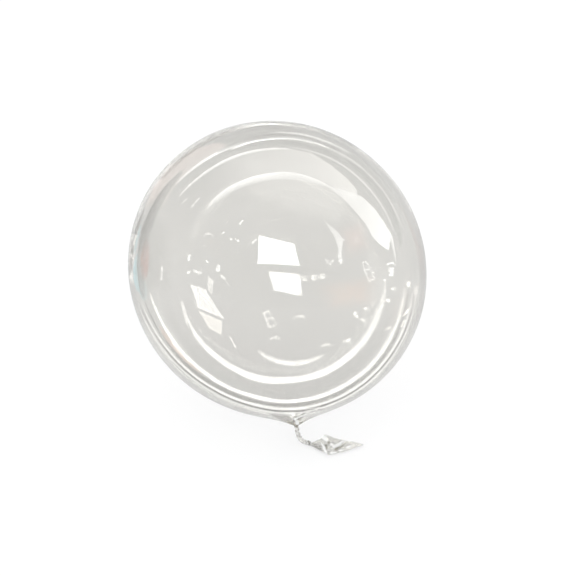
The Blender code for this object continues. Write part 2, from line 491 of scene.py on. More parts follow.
@dataclass(frozen=True)
class RoundBody:
    """The blown body and the cone where it gathers to the neck, as one closed skin.

    Attributes:
        diameter: the mean diameter.
        oval_share: how much longer, and across that shorter, it is than round.
        oval_turn: from the neck's axis to the long diameter.
        spot_radius: the flat spot's radius.
        tip_height: how high the cone's tip is over the surface that the balloon lies on.
        pull_height: how far the film is pulled out round the neck.
        pull_reach: how far from the axis that reaches.
        cone_height: how far the cone stands out over that.
        cone_reach: how far from the axis the cone reaches.
        tip_radius: the radius of the cone's tip, where the pleats start.
        pleats: how many pleats there are.
        pleat_depth: how deep they are.
        pleat_reach: how far from the axis they reach.
        pleat_rise: how far past the tip they have their full depth.
        pleat_wander: how far they stray from an even spacing.
        wander_scale: how many such strays there are round the neck, as a measure.
        uneven_scale: how many changes of their depth there are, as a measure.
        unevenness: how much the depth changes, and its mean, as shares.
        pleat_lean: how much deeper they are on the side where the film gathers.
        small_pleats: how many small pleats there are to one pleat.
        small_reach: how much further those reach.
        small_depth: how deep those are, as a share.
        dark_patch_reach: how far from the axis the darker crumpled film reaches, partly painted shade.
        dark_patch_lean: how much further that patch reaches on the side where the film gathers.
        gathered_side: which way that side lies.
        dark_patch_narrowness: how narrow that side of the patch is.
        dark_patch_edge: the patch's ragged edge's waves, as a share of its reach and a number each.
        painted_light_share: how close to a fold's middle the film gets its painted highlight and shade.
        sway: how far the body strays from an even curve.
        sway_scale: how many such strays there are round it, as a measure.
        wall: the film's thickness.
        sides: the skin's faces round the axis.
        rings: the skin's faces along it.
        crowding: how strongly the rings crowd at the neck.
        seed: for the pleats' spacing.
        settle: how softly the skin ends in the flat spot.
        pose_rounds: the rounds of the search for the tilt.
        folds: the long folds beside the neck, in the plane square to it.
    """

    diameter: float = 0.360
    oval_share: float = 0.0191
    oval_turn: float = math.radians(42.6)
    spot_radius: float = 0.008
    tip_height: float = 0.0145
    pull_height: float = 0.0034
    pull_reach: float = 0.030
    cone_height: float = 0.0090
    cone_reach: float = 0.008
    tip_radius: float = 0.0031
    pleats: int = 18
    pleat_depth: float = 0.0024
    pleat_reach: float = 0.017
    pleat_rise: float = 0.006
    pleat_wander: float = 2.4
    wander_scale: float = 2.1
    uneven_scale: float = 5.3
    unevenness: Place = (1.1, 0.8)
    pleat_lean: float = 0.45
    small_pleats: int = 3
    small_reach: float = 2.6
    small_depth: float = 0.05
    dark_patch_reach: float = 0.008
    dark_patch_lean: float = 5.6
    gathered_side: float = math.radians(116)
    dark_patch_narrowness: int = 8
    dark_patch_edge: tuple[Place, ...] = ((0.16, 9), (0.10, 23))
    painted_light_share: float = 0.42
    sway: float = 0.0004
    sway_scale: float = 2.3
    wall: float = 0.00015
    sides: int = 204
    rings: int = 138
    crowding: float = 1.55
    seed: float = 3.7
    settle: float = 0.0002
    pose_rounds: int = 8
    folds: tuple[Crease, ...] = (
        Crease((0.0000, 0.0080), (-0.0064, 0.0320), 0.0030, 0.0022),
        Crease((-0.0064, 0.0320), (0.0030, 0.0460), 0.0034, 0.0022),
        Crease((0.0006, 0.0150), (0.0042, 0.0340), 0.0018, -0.0012),
    )

    @property
    def radius(self) -> float:
        """Half the mean diameter."""
        return self.diameter / 2

    def oval(self, axis: Vector) -> Matrix:
        """Turns a round body into the slightly oval one.

        Args:
            axis: the direction of the neck.

        Returns:
            The matrix.
        """
        long_axis = axis * math.cos(self.oval_turn) + ACROSS * math.sin(self.oval_turn)
        short_axis = axis * math.sin(self.oval_turn) - ACROSS * math.cos(self.oval_turn)
        change = np.outer(long_axis, long_axis) - np.outer(short_axis, short_axis)
        return Matrix(np.eye(3) + self.oval_share * change)

    def pose(self) -> Pose:
        """Finds how the balloon lies, with the flat spot at the origin.

        Returns:
            The pose, the same as the solid's.
        """
        tip = self.radius + self.pull_height + self.cone_height
        tilt = math.asin((self.radius - self.tip_height) / tip)
        for _ in range(self.pose_rounds):
            axis = Vector((0, -math.cos(tilt), -math.sin(tilt)))
            oval = self.oval(axis)
            lowest = oval @ oval @ UP / (oval @ UP).length * -self.radius
            centre = lowest * -math.sqrt(1 - (self.spot_radius / self.radius) ** 2)
            tilt += (centre.z + (oval @ axis).z * tip - self.tip_height) / tip
        return Pose(centre, oval, axis)

    def tip(self, pose: Pose) -> Vector:
        """The point of the cone, where the twisted neck starts."""
        out = self.radius + self.pull_height + self.cone_height
        return pose.centre + pose.oval @ (pose.axis * out)

    def skin(self, finish: Material) -> Mesh:
        """Builds the outer skin in the body's own frame, whose +Z is the neck.

        Args:
            finish: its material.

        Returns:
            The skin's mesh.
        """
        tree = ShapeTree("round_body")
        radius = tree.named("Radius", self.radius)
        sides, rings = tree.count("Sides", self.sides), tree.count("Rings", self.rings)
        ball = tree.node("GeometryNodeMeshUVSphere", {"Segments": sides, "Rings": rings, "Radius": 1.0})
        x, y, z = tree.parts(tree.node("GeometryNodeInputPosition").outputs[0])
        turn = tree.math("ARCTAN2", y, x)
        share = tree.math("DIVIDE", tree.math("ARCCOSINE", z), math.pi)
        crowding = tree.named("Crowding at the neck", self.crowding)
        polar = tree.product(tree.math("POWER", share, crowding), math.pi)
        near = tree.math("MINIMUM", polar, math.pi / 2)
        from_axis = tree.product(tree.math("SINE", near), radius)
        spoke = tree.joined(tree.math("COSINE", turn), tree.math("SINE", turn), 0.0)
        out = tree.scaled(spoke, tree.math("SINE", polar))
        ox, oy, _ = tree.parts(out)
        direction = tree.joined(ox, oy, tree.math("COSINE", polar))
        height = tree.total(
            radius,
            self.neck(tree, from_axis),
            self.gathers(tree, from_axis, turn, spoke),
            tree.product(tree.swing(direction, self.sway_scale, 1.0), tree.named("Sway", self.sway)),
        )
        inputs = {"Geometry": ball.outputs["Mesh"], "Position": tree.scaled(direction, height)}
        shaped = tree.node("GeometryNodeSetPosition", inputs)
        return tree.mesh(shaped.outputs[0], finish)

    def neck(self, tree: ShapeTree, from_axis: Socket) -> Socket:
        """How far the film is pulled out towards the neck.

        Args:
            tree: the body's tree.
            from_axis: the distance from the neck's axis.

        Returns:
            The height over the round body.
        """
        pull = tree.product(
            tree.bell(from_axis, tree.named("Pull reach", self.pull_reach)),
            tree.named("Pull height", self.pull_height),
        )
        ratio = tree.math("DIVIDE", from_axis, tree.named("Cone reach", self.cone_reach))
        fall = tree.math("EXPONENT", tree.product(ratio, -1.0))
        return tree.math("ADD", pull, tree.product(fall, tree.named("Cone height", self.cone_height)))

    def gathers(self, tree: ShapeTree, from_axis: Socket, turn: Socket, spoke: Socket) -> Socket:
        """The pleats: uneven folds that run out from the neck and fade into the body.

        Args:
            tree: the body's tree.
            from_axis: the distance from the neck's axis.
            turn: the angle round it.
            spoke: the unit vector square to it.

        Returns:
            The height of the folds.
        """
        seed = tree.named("Seed", self.seed)
        around = tree.node("ShaderNodeVectorMath", operation="ADD")
        tree.feed(around.inputs[0], spoke)
        tree.feed(around.inputs[1], tree.joined(seed, seed, 0.0))
        wander = tree.product(tree.swing(around.outputs[0], self.wander_scale), self.pleat_wander)
        depths = tree.swing(around.outputs[0], self.uneven_scale)
        uneven = tree.math("MULTIPLY_ADD", depths, *self.unevenness)
        fold = tree.math("COSINE", tree.total(tree.product(turn, float(self.pleats)), wander))
        small = tree.math("COSINE", tree.product(turn, float(self.pleats * self.small_pleats)))
        full = self.tip_radius + self.pleat_rise
        rise = tree.spread(from_axis, self.tip_radius, full, 0.0, 1.0, interpolation_type="SMOOTHSTEP")
        depth = tree.named("Pleat depth", self.pleat_depth)
        reach = tree.named("Pleat reach", self.pleat_reach)
        aside = tree.math("COSINE", tree.math("SUBTRACT", turn, self.gathered_side))
        lean = tree.math("MULTIPLY_ADD", aside, self.pleat_lean, 1.0)
        deep = tree.product(tree.bell(from_axis, reach), fold, uneven, lean, depth, 0.5)
        far = tree.bell(from_axis, tree.product(reach, self.small_reach))
        shallow = tree.product(far, small, uneven, depth, self.small_depth)
        return tree.product(tree.math("ADD", deep, shallow), rise)

    def fold(self, skin: Mesh, crumpled_and_painted_shade: Material, painted_highlight: Material) -> None:
        """Raises the long folds and paints a highlight on their ridges and shade in their valleys.

        The crumpled film round the neck gets a darker finish too, which is partly painted shade.

        Args:
            skin: the skin in the body's own frame.
            crumpled_and_painted_shade: the crumpled film's darker finish, partly painted shade, and the
                valleys' painted shade.
            painted_highlight: the painted highlight along the folds' ridges.
            painted_highlight: the finish along the folds.
        """
        first = len(skin.materials)
        skin.materials.append(crumpled_and_painted_shade)
        skin.materials.append(painted_highlight)
        points = places(skin)
        rises = [fold.rise(points[:, 0], points[:, 1]) * (points[:, 2] > 0) for fold in self.folds]
        points[:, 2] += sum(rises)
        skin.vertices.foreach_set("co", points.ravel())
        # Painted highlight on the ridges of the folds, painted shade in their valleys.
        white, dark = strongest(self.folds, rises, 1), strongest(self.folds, rises, -1)
        for face in skin.polygons:
            # The darker patch of crumpled film round the neck, reaching furthest on the gathered side, is
            # partly painted shade.
            turn = math.atan2(face.center.y, face.center.x)
            toward = max(0.0, math.cos(turn - self.gathered_side)) ** self.dark_patch_narrowness
            ragged = 1 + sum(share * math.sin(waves * turn) for share, waves in self.dark_patch_edge)
            reach = self.dark_patch_reach * (1 + self.dark_patch_lean * toward) * ragged
            corners = list(face.vertices)
            near = face.center.z > 0 and math.hypot(face.center.x, face.center.y) < reach
            if white[corners].mean() > self.painted_light_share:
                face.material_index = first + 1
            elif near or dark[corners].mean() > self.painted_light_share:
                face.material_index = first

    def mesh(self, pose: Pose, stretched: Material, crumpled_and_painted_shade: Material, painted_highlight: Material) -> Mesh:
        """Builds the body where it lies, with its film's two skins.

        Args:
            pose: how it lies.
            stretched: the finish of the film.
            crumpled_and_painted_shade: its darker finish round the neck, partly painted shade, and its
                painted shade in the valleys.
            painted_highlight: its painted highlight along sharp folds.

        Returns:
            The mesh in the row's frame.
        """
        skin = self.skin(stretched)
        self.fold(skin, crumpled_and_painted_shade, painted_highlight)
        skin.transform(pose.matrix)
        points = places(skin)
        height = points[:, 2]
        points[:, 2] = 0.5 * (height + np.sqrt(height**2 + self.settle**2))
        skin.vertices.foreach_set("co", points.ravel())
        skin.update()
        return thin_walled(skin, self.wall)


@dataclass(frozen=True)
class TwistedNeck:
    """The neck, twisted into a short cord that seals the balloon.

    Attributes:
        thickness: how thick the cord is.
        pitch: the length of one full turn of its strands.
        strands: how many strands it has.
        groove_share: how deep the grooves between them are, as a share of its radius.
        drop: how strongly it keeps to the neck's axis before it bends.
        run: how strongly it keeps to its heading before the loose end.
        end_across: from the neck's tip to the start of the loose end, towards +X.
        end_forward: the same, towards -Y.
        end_heading: its heading there, from +X.
        clearance: under the cord, where it lies along the surface.
        crease_depth: how deep its small creases are.
        crease_scale: how many of them there are to a metre.
        sides: its faces round it.
        rings: its faces along it.
    """

    thickness: float = 0.0060
    pitch: float = 0.0150
    strands: int = 3
    groove_share: float = 0.38
    drop: float = 0.0150
    run: float = 0.0085
    end_across: float = 0.0113
    end_forward: float = 0.0185
    end_heading: float = math.radians(-30)
    clearance: float = 0.0002
    crease_depth: float = 0.0005
    crease_scale: float = 420.0
    sides: int = 36
    rings: int = 170

    def end(self, start: Vector) -> Vector:
        """Where the loose end starts, from where the cord starts."""
        low = self.thickness / 2 + self.clearance
        return Vector((start.x + self.end_across, start.y - self.end_forward, low))

    def mesh(self, start: Vector, axis: Vector, finish: Material) -> Mesh:
        """Builds the cord.

        Args:
            start: the tip of the body's cone.
            axis: the direction of the neck there.
            finish: its material.

        Returns:
            The mesh in the row's frame.
        """
        tree = ShapeTree("twisted_neck")
        end = self.end(start)
        heading = Vector((math.cos(self.end_heading), math.sin(self.end_heading), 0))
        inputs = {
            "Resolution": tree.count("Rings", self.rings),
            "Start": tree.point("Start", start - axis * self.thickness / 2),
            "Start Handle": tree.point("Drop", start + axis * self.drop),
            "End Handle": tree.point("Run", end - heading * self.run),
            "End": tree.point("End", end + heading * self.thickness / 4),
        }
        path = tree.node("GeometryNodeCurvePrimitiveBezierSegment", inputs)
        distance = tree.node("GeometryNodeSplineParameter").outputs["Length"]
        turns = tree.math("DIVIDE", distance, tree.named("Pitch", self.pitch))
        inputs = {"Curve": path.outputs[0], "Tilt": tree.product(turns, math.tau)}
        tilted = tree.node("GeometryNodeSetCurveTilt", inputs)
        inputs = {
            "Curve": tilted.outputs[0],
            "Profile Curve": self.profile(tree),
            "Fill Caps": True,
        }
        swept = tree.node("GeometryNodeCurveToMesh", inputs)
        place = tree.node("GeometryNodeInputPosition").outputs[0]
        depth = tree.named("Creases", self.crease_depth)
        creases = tree.product(tree.swing(place, self.crease_scale, 1.0), depth)
        offset = tree.scaled(tree.node("GeometryNodeInputNormal").outputs[0], creases)
        inputs = {"Geometry": swept.outputs[0], "Offset": offset}
        creased = tree.node("GeometryNodeSetPosition", inputs)
        return tree.mesh(creased.outputs[0], finish)

    def profile(self, tree: ShapeTree) -> Socket:
        """The cord's cross-section: strands with grooves between them.

        Args:
            tree: the cord's tree.

        Returns:
            The closed curve.
        """
        inputs = {
            "Resolution": tree.count("Sides", self.sides),
            "Radius": tree.named("Radius", self.thickness / 2),
        }
        circle = tree.node("GeometryNodeCurvePrimitiveCircle", inputs)
        place = tree.node("GeometryNodeInputPosition").outputs[0]
        x, y, _ = tree.parts(place)
        turn = tree.product(tree.math("ARCTAN2", y, x), float(self.strands))
        groove = tree.named("Groove", self.groove_share / 2)
        round_share = tree.math("SUBTRACT", 1.0, groove)
        share = tree.math("MULTIPLY_ADD", tree.math("COSINE", turn), groove, round_share)
        inputs = {"Geometry": circle.outputs["Curve"], "Position": tree.scaled(place, share)}
        return tree.node("GeometryNodeSetPosition", inputs).outputs[0]


@dataclass(frozen=True)
class LooseEnd:
    """The neck's loose end: two layers of film that lie on each other, open at the mouth.

    Attributes:
        heading: the direction of its long diagonal, from +X.
        length: the diagonal's length.
        short_corner: the corner on its left, along the diagonal and beside it.
        long_corner: the corner on its right.
        bow: how far the cut mouth bows out past the straight line of its ends.
        gap: between the two layers.
        gap_waves: how many times that widens and narrows across it.
        gap_change: how much, as a share.
        wall: the film's thickness.
        clearance: under the film.
        wave_height: how high its long ripples are.
        waves_across: how many of them there are across it.
        waves_along: how many along it.
        wave_start: where in a ripple the short side starts.
        flat_share: the share of it in which the cord spreads flat.
        root_radius: its radius where it leaves the cord.
        root_lobes: how many strands show there.
        root_grooves: how deep the grooves between them are, as a share.
        gathers: how many folds fan out from the cord.
        gather_depth: how deep they are.
        gather_fall: how fast they fade towards the mouth.
        crumple_depth: how deep the small dents all over it are.
        crumple_waves: how many waves make those.
        crumple_scale: the most of those that lie along or across it.
        sides: its faces round the two layers.
        rows: its faces along it.
        seed: for the dents.
        painted_light_share: how close to a crease's middle the film gets its painted highlight and shade.
        creases: its creases, along the diagonal and beside it.
    """

    heading: float = math.radians(-16.5)
    length: float = 0.0660
    short_corner: Place = (0.0195, 0.0171)
    long_corner: Place = (0.0250, -0.0217)
    bow: float = 0.0030
    gap: float = 0.0012
    gap_waves: int = 5
    gap_change: float = 0.6
    wall: float = 0.00012
    clearance: float = 0.0003
    wave_height: float = 0.0030
    waves_across: float = 0.9
    waves_along: float = 1.3
    wave_start: float = 0.6
    flat_share: float = 0.22
    root_radius: float = 0.0029
    root_lobes: int = 3
    root_grooves: float = 0.16
    gathers: int = 7
    gather_depth: float = 0.0009
    gather_fall: float = 3.0
    crumple_depth: float = 0.00012
    crumple_waves: int = 9
    crumple_scale: float = 7.0
    sides: int = 124
    rows: int = 100
    seed: int = 11
    painted_light_share: float = 0.43
    creases: tuple[Crease, ...] = (
        Crease((0.0172, 0.0110), (0.0208, 0.0045), 0.0036, 0.0034),
        Crease((0.0267, -0.0014), (0.0301, -0.0074), 0.0024, 0.0030),
        Crease((0.0301, -0.0074), (0.0422, 0.0105), 0.0019, 0.0034),
        Crease((0.0330, -0.0095), (0.0450, 0.0080), 0.0016, -0.0018),
        Crease((0.0150, 0.0000), (0.0182, -0.0085), 0.0016, 0.0024),
        Crease((0.0182, -0.0085), (0.0225, -0.0195), 0.0020, 0.0022),
        Crease((0.0205, -0.0020), (0.0222, -0.0100), 0.0016, -0.0014),
        Crease((0.0232, 0.0035), (0.0262, -0.0035), 0.0014, -0.0014),
        Crease((0.0284, -0.0175), (0.0340, -0.0140), 0.0024, 0.0020),
        Crease((0.0387, -0.0108), (0.0410, -0.0090), 0.0024, 0.0014),
        Crease((0.0467, -0.0038), (0.0500, -0.0020), 0.0024, 0.0014),
    )

    def edges(self, share: np.ndarray) -> tuple[np.ndarray, np.ndarray]:
        """The two sides of the kite.

        Args:
            share: how far from the root to the mouth.

        Returns:
            The points on the short side and on the long side, which turns its corner.
        """
        short = share[:, None] * np.array(self.short_corner)
        knee, far = np.array(self.long_corner), np.array((self.length, 0.0))
        first = np.linalg.norm(knee)
        whole = first + np.linalg.norm(far - knee)
        left = share[:, None] * whole
        beyond = knee + (left - first) / (whole - first) * (far - knee)
        return short, np.where(left <= first, left / first * knee, beyond)

    def middle(self, share: np.ndarray, place: np.ndarray) -> np.ndarray:
        """How high the middle of the two layers lies: the film's long ripples.

        Args:
            share: how far from the root to the mouth.
            place: how far from the short side to the long one.

        Returns:
            The height at each place.
        """
        turns = self.waves_across * place + self.waves_along * share
        ripple = 0.5 + 0.5 * np.sin(math.tau * turns + self.wave_start)
        return self.clearance + self.gap / 2 + self.wave_height * ripple * share

    def mesh(self, start: Vector, finish: Material, painted_highlight: Material, painted_shade: Material) -> Mesh:
        """Builds the loose end.

        Args:
            start: where the twisted neck ends.
            finish: its material.
            painted_highlight: the painted highlight along its sharp creases.
            painted_shade: the painted shade in the valleys beside them.

        Returns:
            The mesh in the row's frame.
        """
        share = np.linspace(0, 1, self.rows + 1)
        angle = np.arange(self.sides) / self.sides * math.tau
        short, long = self.edges(share)
        place = 0.5 - 0.5 * np.cos(angle)
        plan = short[:, None, :] + place[None, :, None] * (long - short)[:, None, :]
        mouth = np.array((self.length, 0.0)) - np.array(self.short_corner)
        square = np.array((-mouth[1], mouth[0])) / np.linalg.norm(mouth)
        bow = self.bow * share[:, None] * np.sin(angle)[None, :] ** 2
        plan = plan + bow[:, :, None] * square
        rows, sides = np.meshgrid(share, place, indexing="ij")
        over = np.sin(angle)[None, :]
        rises = [crease.rise(plan[..., 0], plan[..., 1]) for crease in self.creases]
        fold = sum(rises)
        # Kind 2 is the painted shade in the creases' valleys, kind 1 the painted highlight on their
        # ridges.
        kinds = np.where(strongest(self.creases, rises, -1) > self.painted_light_share, 2, 0)
        kinds = np.where(strongest(self.creases, rises, 1) > self.painted_light_share, 1, kinds)
        fan = self.gather_depth * np.cos(self.gathers * math.tau * sides)
        fan = fan * np.exp(-rows * self.gather_fall)
        flat = smooth_step(rows / self.flat_share)
        relief = (fold + fan + self.crumple(rows, sides)) * flat
        middle = self.middle(rows, sides) + relief
        swell = self.gap_change * np.cos(self.gap_waves * math.tau * sides)
        height = middle + over * self.gap / 2 * (1 + swell)
        centre = 0.5 * (short + long)[:, None, :]
        across = (short - long) / np.maximum(np.linalg.norm(short - long, axis=1), 1e-9)[:, None]
        across[0] = across[1]
        lobes = self.root_grooves * np.cos(self.root_lobes * angle)
        root = self.root_radius * (1 - self.root_grooves + lobes)
        round_plan = centre + (root * np.cos(angle))[None, :, None] * across[:, None, :]
        round_height = start.z + (root * np.sin(angle))[None, :]
        plan = (1 - flat)[..., None] * round_plan + flat[..., None] * plan
        height = np.maximum((1 - flat) * round_height + flat * height, self.clearance)
        skin = self.skin(start, plan, height, kinds)
        skin.materials.append(finish)
        skin.materials.append(painted_highlight)
        skin.materials.append(painted_shade)
        return thin_walled(skin, self.wall)

    def crumple(self, rows: np.ndarray, sides: np.ndarray) -> np.ndarray:
        """Small dents all over the film, from a few waves with seeded directions.

        Args:
            rows: how far from the root to the mouth.
            sides: how far from the short side to the long one.

        Returns:
            The height at each place.
        """
        draw = np.random.default_rng(self.seed)
        total = np.zeros_like(rows)
        for _ in range(self.crumple_waves):
            along, across = draw.uniform(-self.crumple_scale, self.crumple_scale, 2)
            total += np.sin(math.tau * (along * rows + across * sides) + draw.uniform(0, math.tau))
        return self.crumple_depth * total

    def skin(self, start: Vector, plan: np.ndarray, height: np.ndarray, kinds: np.ndarray) -> Mesh:
        """Joins the rings of points into a tube, pinched shut at its root.

        Args:
            start: where the root is.
            plan: the places along and beside the diagonal, ring by ring.
            height: the height of each.
            kinds: which finish each has.

        Returns:
            The outer skin.
        """
        ahead = np.array((math.cos(self.heading), math.sin(self.heading)))
        left = np.array((-ahead[1], ahead[0]))
        level = plan[..., :1] * ahead + plan[..., 1:] * left + np.array((start.x, start.y))
        points = np.concatenate([level, height[..., None]], axis=-1)
        tube = bmesh.new()
        rings = [[tube.verts.new(point) for point in ring] for ring in points]
        for row, (ring, following) in enumerate(zip(rings, rings[1:])):
            for side in range(len(ring)):
                after = (side + 1) % len(ring)
                face = tube.faces.new((ring[side], following[side], following[after], ring[after]))
                face.material_index = int(kinds[row, side])
        tube.faces.new(rings[0])
        bmesh.ops.recalc_face_normals(tube, faces=tube.faces)
        mesh = bpy.data.meshes.new("loose_end")
        tube.to_mesh(mesh)
        tube.free()
        mesh.shade_smooth()
        return mesh


@dataclass(frozen=True)
class Balloon:
    """The whole film envelope: its three parts and the finishes of its film.

    Attributes:
        body: the blown body.
        neck: the twisted neck.
        loose_end: the loose end.
        stretched: the film of the body.
        crumpled_and_painted_shade: the darker crumpled film round the neck, partly painted shade, and the
            painted shade in the valleys of the folds.
        twisted: the film of the twisted neck.
        loose: the film of the loose end.
        painted_highlight: the painted highlight along sharp folds.
    """

    body: RoundBody = RoundBody()
    neck: TwistedNeck = TwistedNeck()
    loose_end: LooseEnd = LooseEnd()
    stretched: FilmFinish = FilmFinish(
        "stretched_film", (0.846, 0.840, 0.821), lines=0.00008, shade=0.975
    )
    # Darker film: the crumpled film round the neck, partly painted shade, and painted shade in the
    # valleys of folds and creases.
    crumpled_and_painted_shade: FilmFinish = FilmFinish(
        "crumpled_film_and_painted_shade", (0.65, 0.635, 0.59), smear=0.12, crinkle=0.0003, shade=0.92
    )
    twisted: FilmFinish = FilmFinish(
        "twisted_film", (0.74, 0.735, 0.715), smear=0.06, crinkle=0.0006, crinkle_scale=190
    )
    loose: FilmFinish = FilmFinish("loose_film", (0.86, 0.857, 0.842), smear=0.10, crinkle=0.00025)
    # Painted highlight: near-white, barely see-through film on the ridges of folds and creases.
    painted_highlight: FilmFinish = FilmFinish(
        "painted_highlight_film", (0.98, 0.98, 0.97), smear=0.30, shade=0.9, clear=0.15
    )

    def build(self) -> bpy.types.Object:
        """Builds the envelope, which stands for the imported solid.

        Returns:
            The piece.
        """
        pose = self.body.pose()
        finishes = (self.stretched, self.crumpled_and_painted_shade, self.twisted, self.loose, self.painted_highlight)
        stretched, crumpled_and_painted_shade, twisted, loose, painted_highlight = (finish.material(pose) for finish in finishes)
        tip = self.body.tip(pose)
        meshes = [
            self.body.mesh(pose, stretched, crumpled_and_painted_shade, painted_highlight),
            self.neck.mesh(tip, pose.axis, twisted),
            self.loose_end.mesh(self.neck.end(tip), loose, painted_highlight, crumpled_and_painted_shade),
        ]
        piece = join("balloon_film", meshes)
        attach(piece, "root")
        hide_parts("balloon")
        return piece


def join(name: str, meshes: Sequence[Mesh]) -> bpy.types.Object:
    """Puts meshes into one object at the origin, which keeps the finish of each face.

    Args:
        name: the object's name.
        meshes: the meshes.

    Returns:
        The object.
    """
    finishes = dict.fromkeys(finish for mesh in meshes for finish in mesh.materials if finish)
    materials = list(finishes)
    whole = bmesh.new()
    for mesh in meshes:
        first = len(whole.faces)
        whole.from_mesh(mesh)
        whole.faces.ensure_lookup_table()
        for face in whole.faces[first:]:
            face.material_index = materials.index(mesh.materials[face.material_index])
            face.smooth = True
    joined = bpy.data.meshes.new(name)
    whole.to_mesh(joined)
    whole.free()
    for material in materials:
        joined.materials.append(material)
    return placed(name, joined)


@dataclass(frozen=True)
class PictureView:
    """The photograph's viewpoint, in its frame of 576 by 576 pixels.

    Attributes:
        azimuth: how far the camera stands to the left of the front.
        elevation: how far it looks down.
        distance: how far it stands from the body's centre.
        side_px: the frame's side in pixels.
        centre_px: the pixel that shows the body's centre.
        diameter_px: the body's diameter in pixels.
        sensor: the camera's film width.
    """

    azimuth: float = math.radians(-11.5)
    elevation: float = math.radians(30)
    distance: float = 2.2
    side_px: float = 576.0
    centre_px: Place = (277.4, 269.7)
    diameter_px: float = 298.1
    sensor: float = 0.036

    def axes(self) -> tuple[Vector, Vector, Vector]:
        """The view's right, up and back.

        Returns:
            The three unit directions.
        """
        turn, rise = self.azimuth, self.elevation
        right = Vector((math.cos(turn), math.sin(turn), 0))
        level = Vector((math.sin(turn), -math.cos(turn), 0))
        back = level * math.cos(rise) + UP * math.sin(rise)
        return right, back.cross(right), back

    def focal_px(self, body: RoundBody) -> float:
        """The focal length in pixels at which the body's outline has its size."""
        outline = body.radius / math.sqrt(self.distance**2 - body.radius**2)
        return self.diameter_px / 2 / outline

    def eye(self, body: RoundBody, centre: Vector) -> Vector:
        """The place of the camera, which shows the body's centre at its pixel.

        Args:
            body: the body.
            centre: its centre.

        Returns:
            The camera's place.
        """
        right, up, back = self.axes()
        metres = self.distance / self.focal_px(body)
        shift = self.side_px / 2
        aim = centre + right * (shift - self.centre_px[0]) * metres
        aim = aim - up * (shift - self.centre_px[1]) * metres
        return aim + back * self.distance

    def ray(self, body: RoundBody, place: Place) -> Vector:
        """The direction in which the camera sees a pixel.

        Args:
            body: the body, whose size sets the focal length.
            place: the pixel.

        Returns:
            The unit direction.
        """
        right, up, back = self.axes()
        focal, shift = self.focal_px(body), self.side_px / 2
        toward = right * ((place[0] - shift) / focal) - up * ((place[1] - shift) / focal) - back
        return toward.normalized()

    def camera(self, body: RoundBody, centre: Vector) -> bpy.types.Object:
        """Makes the scene's camera.

        Args:
            body: the body.
            centre: its centre.

        Returns:
            The camera.
        """
        data = bpy.data.cameras.new("camera")
        data.sensor_width = self.sensor * 1000
        data.lens = self.focal_px(body) / self.side_px * self.sensor * 1000
        made = placed("camera", data)
        turn = Matrix(self.axes()).transposed().to_4x4()
        made.matrix_world = Matrix.Translation(self.eye(body, centre)) @ turn
        bpy.context.scene.camera = made
        return made


@dataclass(frozen=True)
class Arc:
    """A curved strip in the picture that tapers to nothing at both ends.

    Attributes:
        centre: the arc's centre, in pixels.
        radius: its radius.
        span: the angles of its two ends, in degrees clockwise from the right.
        width: its width in the middle.
        edges: how bright its inner and its outer edge are, as shares.
        rows_along: the rows it is cut into.
        places_across: the places in each row.
        end_share: how near to nothing its ends are cut off.
    """

    centre: Place
    radius: float
    span: Place
    width: float
    edges: Place = (1.0, 1.0)
    rows_along: int = 57
    places_across: int = 5
    end_share: float = 0.02

    def rows(self) -> list[Row]:
        """Cuts the strip into rows of places with their brightness.

        Returns:
            The rows, from the first end to the last.
        """
        made = []
        for share in np.linspace(0, 1, self.rows_along):
            angle = math.radians(self.span[0] + (self.span[1] - self.span[0]) * share)
            taper = math.sin(math.pi * (self.end_share + (1 - 2 * self.end_share) * share)) ** 0.5
            row = []
            for step in np.linspace(0, 1, self.places_across):
                reach = self.radius + (step - 0.5) * self.width * taper
                x = self.centre[0] + reach * math.cos(angle)
                y = self.centre[1] + reach * math.sin(angle)
                glow = self.edges[0] * (1 - step) + self.edges[1] * step
                row.append(((x, y), math.sqrt(taper) * glow))
            made.append(row)
        return made


@dataclass(frozen=True)
class Band:
    """A strip between two lines in the picture.

    Attributes:
        left: the places along one side, in pixels.
        right: the places along the other side, as many.
        first: how bright its start is, as a share.
        last: how bright its end is.
        fade: the share of its width and length over which its edges fade.
        rows_between: the rows from one place of its sides to the next.
        places_across: the places in each row.
    """

    left: tuple[Place, ...]
    right: tuple[Place, ...]
    first: float = 1.0
    last: float = 1.0
    fade: float = 0.0
    rows_between: int = 8
    places_across: int = 9

    def rows(self) -> list[Row]:
        """Cuts the strip into rows of places with their brightness.

        Returns:
            The rows, from the first end to the last.
        """
        left, right = np.array(self.left), np.array(self.right)
        knots = np.linspace(0, 1, len(left))
        made = []
        for share in np.linspace(0, 1, self.rows_between * (len(left) - 1) + 1):
            start = np.array([np.interp(share, knots, left[:, part]) for part in (0, 1)])
            end = np.array([np.interp(share, knots, right[:, part]) for part in (0, 1)])
            row = []
            for step in np.linspace(0, 1, self.places_across):
                glow = self.first + (self.last - self.first) * share
                if self.fade:
                    glow *= smooth_step(min(share, 1 - share, step, 1 - step) / self.fade)
                row.append((tuple(start + (end - start) * step), float(glow)))
            made.append(row)
        return made


Shape = Arc | Band
Ends = tuple[Place, Place]


def stroke(start: Place, end: Place, width: float, glow: float = 1.0) -> Band:
    """A short straight line in the picture.

    Args:
        start: where it starts, in pixels.
        end: where it ends.
        width: how wide it is.
        glow: how bright it is, as a share.

    Returns:
        The line as a band.
    """
    run = np.array(end) - np.array(start)
    aside = np.array((-run[1], run[0])) / np.linalg.norm(run) * width / 2
    left = tuple(tuple(np.array(place) + aside) for place in (start, end))
    right = tuple(tuple(np.array(place) - aside) for place in (start, end))
    return Band(left, right, glow, glow)


def ladder(top: Ends, rung: Ends, foot: Ends) -> tuple[Band, ...]:
    """A small window frame in the picture.

    Args:
        top: the two ends of its upper edge, in pixels.
        rung: the ends of the bar across it.
        foot: the ends of its lower edge.

    Returns:
        Its five lines.
    """
    sides = tuple(zip(top, foot))
    return tuple(stroke(start, end, width=1.15, glow=0.75) for start, end in (*sides, top, rung, foot))


